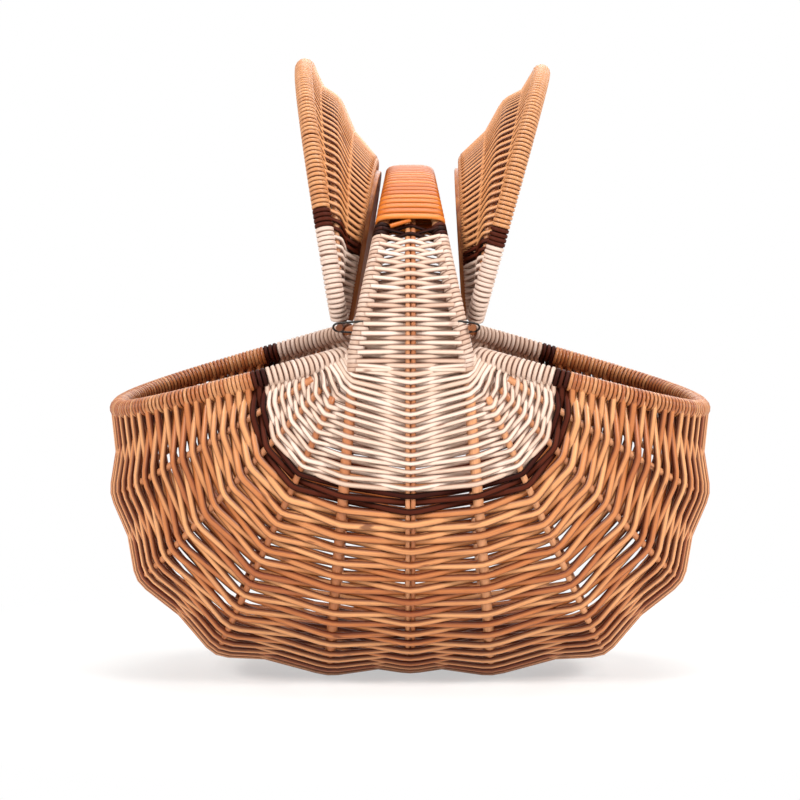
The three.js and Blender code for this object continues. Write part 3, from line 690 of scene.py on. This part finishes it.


# Varnished split cane: honey orange, smooth and glossy
# The edges of each turn get a lighter painted shade
honey_cane = willow("varnished_split_cane", ["#b25a16", "#be661e", "#c87228"], "#a85410", "#6a2a02",
                    roughness=0.34, coat=0.05, streak_strength=0.25, fibre=0.2, painted_edge_shade=0.5, gloss=0.2)
grip_skin = joined(grip_winding(), tucked_end(), turned_about(tucked_end()))
make_piece("handle_grip", grip_skin, honey_cane, "basket", grip_random)

# Hinge rings: soft dark wire bent into a long link round each outer rod of the handle and the end of a
# lid's bar. Each link slopes between the upright rod and the level bar, and goes in between the turns of
# the handle's weaving. The lids swing on these four rings.
hinge_offset = 48.8 * mm
hinge_height = 20 * mm
lid_twist = math.radians(1.2)
bar = 5 * mm
ring_wire = 1.6 * mm
ring_tilt = math.radians(45)
ring_steps = 48
ring_sides = 10
ring_random = np.random.default_rng(41)

# Annealed iron wire: nearly black, with a dull metal shine and scale in patches of about 1.4 mm
wire_patch = 10 / 7 * mm
iron_wire = bpy.data.materials.new("annealed_iron_wire")
iron_wire.use_nodes = True
wire_tree = iron_wire.node_tree
wire_shader = wire_tree.nodes["Principled BSDF"]
wire_place = add_node(wire_tree, "ShaderNodeTexCoord").outputs["Object"]
wire_noise = add_node(wire_tree, "ShaderNodeTexNoise",
                      {"Vector": wire_place, "Scale": 1 / wire_patch, "Detail": 3.0}).outputs["Fac"]
wire_ramp = add_node(wire_tree, "ShaderNodeValToRGB", {"Fac": wire_noise})
wire_ramp.color_ramp.elements[0].color = colour("#1d1b1a")
wire_ramp.color_ramp.elements[1].color = colour("#4a4542")
wire_tree.links.new(wire_ramp.outputs["Color"], wire_shader.inputs["Base Color"])
wire_rough = add_node(wire_tree, "ShaderNodeMapRange", {"Value": wire_noise, "To Min": 0.3, "To Max": 0.55})
wire_tree.links.new(wire_rough.outputs["Result"], wire_shader.inputs["Roughness"])
wire_shader.inputs["Metallic"].default_value = 0.9

# Where the rings hold: the outer rod at the hinge's height, and the half sizes of the two bends of wire
ring_rise = hinge_height / handle_rise
ring_rod_x = handle_half_width + (handle_top_half_width - handle_half_width) * ring_rise
ring_y = handle_half_depth * (1 - ring_rise ** handle_fullness) ** (1 / handle_fullness)
wire_room = rod_clearance + ring_wire / 2
rod_bend = np.array([handle_rod / 2, handle_rod / 2 / math.cos(ring_tilt)]) + wire_room
bar_bend = np.full(2, bar / 2 / math.sin(ring_tilt) + wire_room)


def hinge_ring(sign, end):
    """A closed link in a sloping plane: half an oval round the rod and half a circle round the bar."""
    turn = np.linspace(0, 2 * np.pi, ring_steps, endpoint=False)
    across = np.cos(turn)[:, None] * lengthways
    upright = np.sin(turn)[:, None] * np.array([0, math.cos(ring_tilt), end * math.sin(ring_tilt)])
    round_bar = np.cos(turn) * sign > 0
    bar_x = sign * hinge_offset + end * ring_y * math.tan(lid_twist)
    middle = np.where(round_bar, bar_x, sign * ring_rod_x)[:, None] * lengthways
    middle = middle + np.array([0, end * ring_y, crossing_height + hinge_height])
    bend = np.where(round_bar[:, None], bar_bend, rod_bend)
    link = middle + bend[:, :1] * across + bend[:, 1:] * upright
    return strands(link[None], (across + upright)[None], ring_wire, ring_wire, ring_sides, closed=True)


for sign, side_name in both_sides:
    for end, end_name in ((-1, "front"), (1, "back")):
        make_piece(f"hinge_ring_{side_name}_{end_name}", hinge_ring(sign, end), iron_wire, "basket",
                   ring_random)

# Lids: each has a straight bar that turns in the rings, three arched rods, and weaving from the rim rod
# over the middle rib to the inner rod, in the same white, dark and buff stretches as the basket.
# A flat board of stained wood fills the arch between the inner rod and the bar.
lid_fullness = 2.6
lid_overhang = 4.8 * mm
lid_reach = math.hypot(rim_half_length - hinge_offset, rim_end_drop + hinge_height) + lid_overhang
lid_half_depth = 133 * mm
lid_draw_in = 0.09
lid_mid_inset = 29.5 * mm
lid_mid_rise = 18 * mm
lid_mid_half_depth = 123 * mm
lid_mid_draw_in = 0.08
lid_inner_inset = 80 * mm
lid_inner_rise = 38.7 * mm
lid_inner_half_depth = 105 * mm
lid_corner_reach = 30 * mm
lid_arch_start = 6.5 * mm
lid_open = {"left": math.radians(80.6), "right": math.radians(74.5)}
lid_rim_rod = 7 * mm
lid_rib = 5 * mm
lid_rim_wrap = 14 * mm
lid_inner_wrap = 10 * mm
lid_white_length = {"left": 76 * mm, "right": 64 * mm}
lid_dark_length = 14 * mm
lid_pitch = 3.3 * mm
lid_white_pitch = 3.4 * mm
lid_weaver_width = 3.8 * mm
lid_weaver_thickness = 2.6 * mm
lid_scatter = 0.05
# Painted light: the lids' strands keep to the palest tones, so the lids look more brightly lit than the
# basket
lid_darkest = 0.95
bar_past_ring = 6 * mm
bar_steps = 40
board_thickness = 9 * mm
board_proud = 8 * mm
board_clearance = 0.5 * mm
board_edge_round = 1.5 * mm
board_arch_steps = 72
board_base_steps = 24
board_edge_steps = 7
lid_random = np.random.default_rng(53)

lid_foot = (0, 0)
lid_mid_crown = (lid_reach - lid_mid_inset, lid_mid_rise)
lid_inner_crown = (lid_reach - lid_inner_inset, lid_inner_rise)
lid_rim = Arch(lid_foot, (lid_reach, 0), lid_half_depth, lid_fullness, 0.0, lid_draw_in, lid_corner_reach)
lid_mid = Arch(lid_foot, lid_mid_crown, lid_mid_half_depth, lid_fullness, 0.0, lid_mid_draw_in,
               lid_corner_reach)
lid_inner = Arch(lid_foot, lid_inner_crown, lid_inner_half_depth, lid_fullness)
lid_arches = [lid_rim, lid_mid, lid_inner]
lid_radii = np.array([lid_rim_rod, lid_rib, lid_rib]) / 2
lid_start = lid_arch_start / lid_rim.length
under_lid = np.array([0, 0, -1.0])


def lid_weave(low, high, pitch, first_row):
    """Rows from the rim rod over or under the middle rib to the inner rod, and turns round the outer two."""
    rows = max(round((high - low) * lid_rim.length / pitch), 1)
    step = (high - low) / rows
    shares = part_middles(low, high, rows)[:, None]
    shares = shares + step * lid_random.normal(0, lid_scatter, (rows, len(lid_arches)))
    lines, along = on_arches(lid_arches, shares)
    normals = outward_normals(lines, along, under_lid)
    over = over_under(rows, len(lid_arches), first_row)
    paths, leaning = bent_rows(lines, normals, over * (lid_radii + lid_weaver_thickness / 2))
    uneven = lid_weaver_width * lid_random.uniform(*fine_widths, (rows, 1))
    skins = [strands(paths, leaning, uneven, lid_weaver_thickness)]
    places = shares.mean(axis=1)
    for arch, rod, wrap in ((lid_rim, lid_rim_rod, lid_rim_wrap), (lid_inner, lid_rib, lid_inner_wrap)):
        wrap_thickness = (wrap - rod) / 2
        wrap_radius = (rod + wrap_thickness) / 2
        flat = np.broadcast_to(arch.side, (rows, 3))
        skins.append(wrap_rings(arch.at(places), arch.along(places), flat, wrap_radius,
                                step * arch.length * edge_cover, wrap_thickness, edge_lean))
    return joined(*skins), rows


def board_skin():
    """The board: the inner arch's outline moved in by the wrapping, raised to a plate with rounded edges."""
    inset = lid_inner_wrap / 2 + board_clearance
    shares = np.linspace(lid_start, 1 - lid_start, board_arch_steps)
    inward = np.cross(lid_inner.along(shares), lid_inner.side)
    curve = lid_inner.at(shares) + inward * inset
    radial = unit(np.array([lid_inner_crown[0], 0, lid_inner_crown[1]]))
    back = (bar / 2 + rod_clearance) * radial
    base = np.linspace(curve[-1, 1], curve[0, 1], board_base_steps)[:, None] * np.array([0, 1.0, 0]) + back
    outline = np.concatenate([curve, base])
    middle = outline.mean(axis=0)
    face = -lid_inner.side
    turn = np.linspace(-np.pi / 2, np.pi / 2, board_edge_steps)
    draw = board_edge_round * (1 - np.cos(turn))[:, None, None]
    half = board_thickness / 2 - board_edge_round
    height = board_proud - board_thickness / 2 + np.sign(turn) * half + board_edge_round * np.sin(turn)
    reach = np.linalg.norm(outline - middle, axis=1)[None, :, None]
    rings = middle + (outline - middle)[None] * (1 - draw / reach) + face * height[:, None, None]
    levels, count = rings.shape[:2]
    index = np.arange(levels * count).reshape(levels, count)
    below, above = index[:-1], index[1:]
    quads = np.stack([below, np.roll(below, -1, axis=1), np.roll(above, -1, axis=1), above], axis=-1)
    caps = np.stack([index[0, ::-1], index[-1]])
    points = rings.reshape(-1, 3)
    grain = np.stack([points @ radial, points[:, 1], points @ face], axis=1)
    return {"points": points, "faces": [quads.reshape(-1, 4), caps], "grain": grain,
            "edge": np.zeros(len(points)), "number": np.zeros(len(points), int)}


# Stained board: reddish brown wood with long straight grain and a satin varnish. Its growth rings are
# about 6 mm apart and drawn out along the board, with pores about 0.5 mm apart.
growth_size = (200 * mm, 6.25 * mm)
pore_size = (25 * mm, 0.5 * mm)
pore_depth = 0.1 * mm
stained_board = bpy.data.materials.new("stained_wood_board")
stained_board.use_nodes = True
board_tree = stained_board.node_tree
board_shader = board_tree.nodes["Principled BSDF"]
board_grain = add_node(board_tree, "ShaderNodeAttribute", attribute_name="grain").outputs["Vector"]
growth_place = add_node(board_tree, "ShaderNodeMapping",
                        {"Vector": board_grain, "Scale": drawn_out(growth_size)}).outputs["Vector"]
growth = add_node(board_tree, "ShaderNodeTexNoise", {"Vector": growth_place, "Scale": 1.0, "Detail": 4.0,
                                                     "Distortion": 0.6}).outputs["Fac"]
pore_place = add_node(board_tree, "ShaderNodeMapping",
                      {"Vector": board_grain, "Scale": drawn_out(pore_size)}).outputs["Vector"]
pores = add_node(board_tree, "ShaderNodeTexNoise",
                 {"Vector": pore_place, "Scale": 1.0, "Detail": 2.0}).outputs["Fac"]
board_ramp = add_node(board_tree, "ShaderNodeValToRGB", {"Fac": growth})
board_ramp.color_ramp.elements[0].position = 0.3
board_ramp.color_ramp.elements[0].color = colour("#8c4c26")
board_ramp.color_ramp.elements[1].position = 0.7
board_ramp.color_ramp.elements[1].color = colour("#c07c48")
pore_share = add_node(board_tree, "ShaderNodeMapRange", {"Value": pores, "From Min": 0.55, "From Max": 0.75,
                                                         "To Max": 0.5}).outputs["Result"]
board_colour = add_node(board_tree, "ShaderNodeMix",
                        {"Factor": pore_share, "A": board_ramp.outputs["Color"], "B": colour("#6a3416")},
                        data_type="RGBA").outputs["Result"]
board_tree.links.new(board_colour, board_shader.inputs["Base Color"])
board_rough = add_node(board_tree, "ShaderNodeMapRange", {"Value": growth, "To Min": 0.35, "To Max": 0.55})
board_tree.links.new(board_rough.outputs["Result"], board_shader.inputs["Roughness"])
board_relief = add_node(board_tree, "ShaderNodeBump",
                        {"Height": pores, "Strength": 0.3, "Distance": pore_depth})
board_tree.links.new(board_relief.outputs["Normal"], board_shader.inputs["Normal"])
board_shader.inputs["Specular IOR Level"].default_value = 0.3
board_shader.inputs["Coat Weight"].default_value = 0.05

# Stained willow: the hinge bars are rubbed with the boards' brown stain
stained_willow = willow("stained_willow_bar", ["#5e3219", "#704022", "#844e2c"], "#4c260f", "#351805",
                        roughness=0.45, coat=0.05)


def placed(skin, sign, opened):
    """A lid's skin turned from its own frame, with the rim lying flat, to its place beside the handle."""
    turn = (0 if sign > 0 else math.pi) - lid_twist
    swing = np.array([[math.cos(opened), 0, -math.sin(opened)],
                      [0, 1, 0],
                      [math.sin(opened), 0, math.cos(opened)]])
    swivel = np.array([[math.cos(turn), -math.sin(turn), 0],
                       [math.sin(turn), math.cos(turn), 0],
                       [0, 0, 1]])
    hinge = np.array([sign * hinge_offset, 0, crossing_height + hinge_height])
    return {**skin, "points": skin["points"] @ (swivel @ swing).T + hinge}


for sign, side_name in both_sides:
    body = f"{side_name}_lid"
    opened = lid_open[side_name]
    bar_half = handle_half_depth + bar_past_ring
    bar_path = np.linspace([0, -bar_half, 0], [0, bar_half, 0], bar_steps)
    bar_skin = placed(rod_skin(bar_path, upward, bar, False), sign, opened)
    make_piece(f"{body}_hinge_bar", bar_skin, stained_willow, body, lid_random)
    for arch, rod, rod_name in ((lid_rim, lid_rim_rod, "rim_rod"), (lid_mid, lid_rib, "mid_rib"),
                                (lid_inner, lid_rib, "inner_rod")):
        path = arch.at(np.linspace(lid_start, 1 - lid_start, hoop_steps))
        skin = placed(rod_skin(path, arch.side, rod, False), sign, opened)
        make_piece(f"{body}_{rod_name}", skin, rod_willow, body, lid_random)
    board = placed(board_skin(), sign, opened)
    make_piece(f"{body}_board", board, stained_board, body, lid_random)

    white = lid_white_length[side_name] / lid_rim.length
    dark = white + lid_dark_length / lid_rim.length
    near, far = ("front", "back") if sign > 0 else ("back", "front")
    lid_stretches = [
        (f"{near}_white", lid_start, white, lid_white_pitch, peeled_willow, "peeled_willow"),
        (f"{near}_dark", white, dark, lid_pitch, dark_willow, "dark_willow"),
        ("natural", dark, 1 - dark, lid_pitch, buff_willow, "natural_willow"),
        (f"{far}_dark", 1 - dark, 1 - white, lid_pitch, dark_willow, "dark_willow"),
        (f"{far}_white", 1 - white, 1 - lid_start, lid_white_pitch, peeled_willow, "peeled_willow"),
    ]
    first = 0
    for name, low, high, pitch, material, slot in lid_stretches:
        skin, rows = lid_weave(low, high, pitch, first)
        first += rows
        skin = placed(skin, sign, opened)
        # The lids' weaving takes only the palest tones, as painted light
        make_piece(f"{body}_weave_{name}", skin, material, body, lid_random, lid_darkest)

# Studio: a plain pale floor that runs to white, soft light from above, from both sides and from behind,
# and the camera almost level with the basket, a little above its rim.
floor_reach = 6.0
floor_mesh = bpy.data.meshes.new("floor")
floor_mesh.from_pydata([(-floor_reach, -floor_reach, 0), (floor_reach, -floor_reach, 0),
                        (floor_reach, floor_reach, 0), (-floor_reach, floor_reach, 0)], [], [(0, 1, 2, 3)])
floor = bpy.data.objects.new("floor", floor_mesh)
bpy.context.scene.collection.objects.link(floor)


def seen_itself(tree):
    """1 for a ray that shows the backdrop straight, mirrored or through glass, and 0 for one that lights."""
    ray = add_node(tree, "ShaderNodeLightPath").outputs
    seen = add_node(tree, "ShaderNodeMath", {0: ray["Is Camera Ray"], 1: ray["Is Glossy Ray"]},
                    operation="MAXIMUM").outputs[0]
    return add_node(tree, "ShaderNodeMath", {0: seen, 1: ray["Is Transmission Ray"]},
                    operation="MAXIMUM").outputs[0]


# White paper: matt under the basket, where it keeps the shadow, and seen as plain white further out
shadow_reach = 0.22
white_reach = 0.5
plain_white = 0.5
pure_white = (1, 1, 1, 1)
floor_paint = bpy.data.materials.new("white_paper_floor")
floor_paint.use_nodes = True
paper = floor_paint.node_tree
paper_shader = paper.nodes["Principled BSDF"]
paper_shader.inputs["Base Color"].default_value = colour("#f6f6f4")
paper_shader.inputs["Roughness"].default_value = 0.9
paper_place = add_node(paper, "ShaderNodeTexCoord").outputs["Object"]
paper_radius = add_node(paper, "ShaderNodeVectorMath", {0: paper_place}, operation="LENGTH").outputs["Value"]
paper_fade = add_node(paper, "ShaderNodeMapRange", {"Value": paper_radius, "From Min": shadow_reach,
                                                    "From Max": white_reach, "To Min": plain_white},
                      interpolation_type="SMOOTHSTEP")
paper_share = add_node(paper, "ShaderNodeMath", {0: paper_fade.outputs["Result"], 1: seen_itself(paper)},
                       operation="MULTIPLY")
paper_white = add_node(paper, "ShaderNodeEmission", {"Color": pure_white, "Strength": 1.0})
paper_mix = add_node(paper, "ShaderNodeMixShader", {0: paper_share.outputs[0], 1: paper_shader.outputs[0],
                                                    2: paper_white.outputs[0]})
paper.links.new(paper_mix.outputs[0], paper.nodes["Material Output"].inputs["Surface"])
floor_mesh.materials.append(floor_paint)

# The room: a dim even light all round, seen as plain white
world = bpy.data.worlds.new("studio")
bpy.context.scene.world = world
world.use_nodes = True
sky = world.node_tree
sky_light = sky.nodes["Background"]
sky_light.inputs["Color"].default_value = pure_white
sky_light.inputs["Strength"].default_value = 0.28
white_wall = add_node(sky, "ShaderNodeBackground", {"Color": pure_white, "Strength": 1.0})
shown = add_node(sky, "ShaderNodeMixShader", {0: seen_itself(sky), 1: sky_light.outputs[0],
                                              2: white_wall.outputs[0]})
sky.links.new(shown.outputs[0], sky.nodes["World Output"].inputs["Surface"])

# Soft lamps, each with its place and width in metres and its power in watts
lamp_target = np.array([0, 0, 0.2])
lamps = [
    ("key", (1.6, -1.3, 1.3), 0.8, 46),
    ("fill", (-1.5, -1.4, 1.3), 0.8, 40),
    ("top", (0.1, 0.2, 2.0), 1.2, 29),
    ("back", (0.5, 1.9, 1.2), 1.6, 15),
]
for name, place, size, power in lamps:
    lamp = bpy.data.lights.new(name, "AREA")
    lamp.size = size
    lamp.energy = power
    lamp_object = bpy.data.objects.new(name, lamp)
    bpy.context.scene.collection.objects.link(lamp_object)
    aim = lamp_target - np.array(place)
    lamp_object.location = place
    lamp_object.rotation_euler = (math.acos(-aim[2] / np.linalg.norm(aim)), 0, math.atan2(-aim[0], aim[1]))

image_pixels = 800
pixels_per_metre = 1298
camera_distance = 2.95
camera_elevation = math.radians(4.75)
aim_point = (-0.0077, 0.0, 0.210)
camera = bpy.data.cameras.new("camera")
camera.sensor_width = 36
camera.lens = camera.sensor_width * pixels_per_metre * camera_distance / image_pixels
camera_object = bpy.data.objects.new("camera", camera)
bpy.context.scene.collection.objects.link(camera_object)
camera_object.location = (aim_point[0], -camera_distance * math.cos(camera_elevation),
                          aim_point[2] + camera_distance * math.sin(camera_elevation))
camera_object.rotation_euler = (math.pi / 2 - camera_elevation, 0, 0)
bpy.context.scene.camera = camera_object
bpy.context.scene.view_settings.view_transform = "Standard"
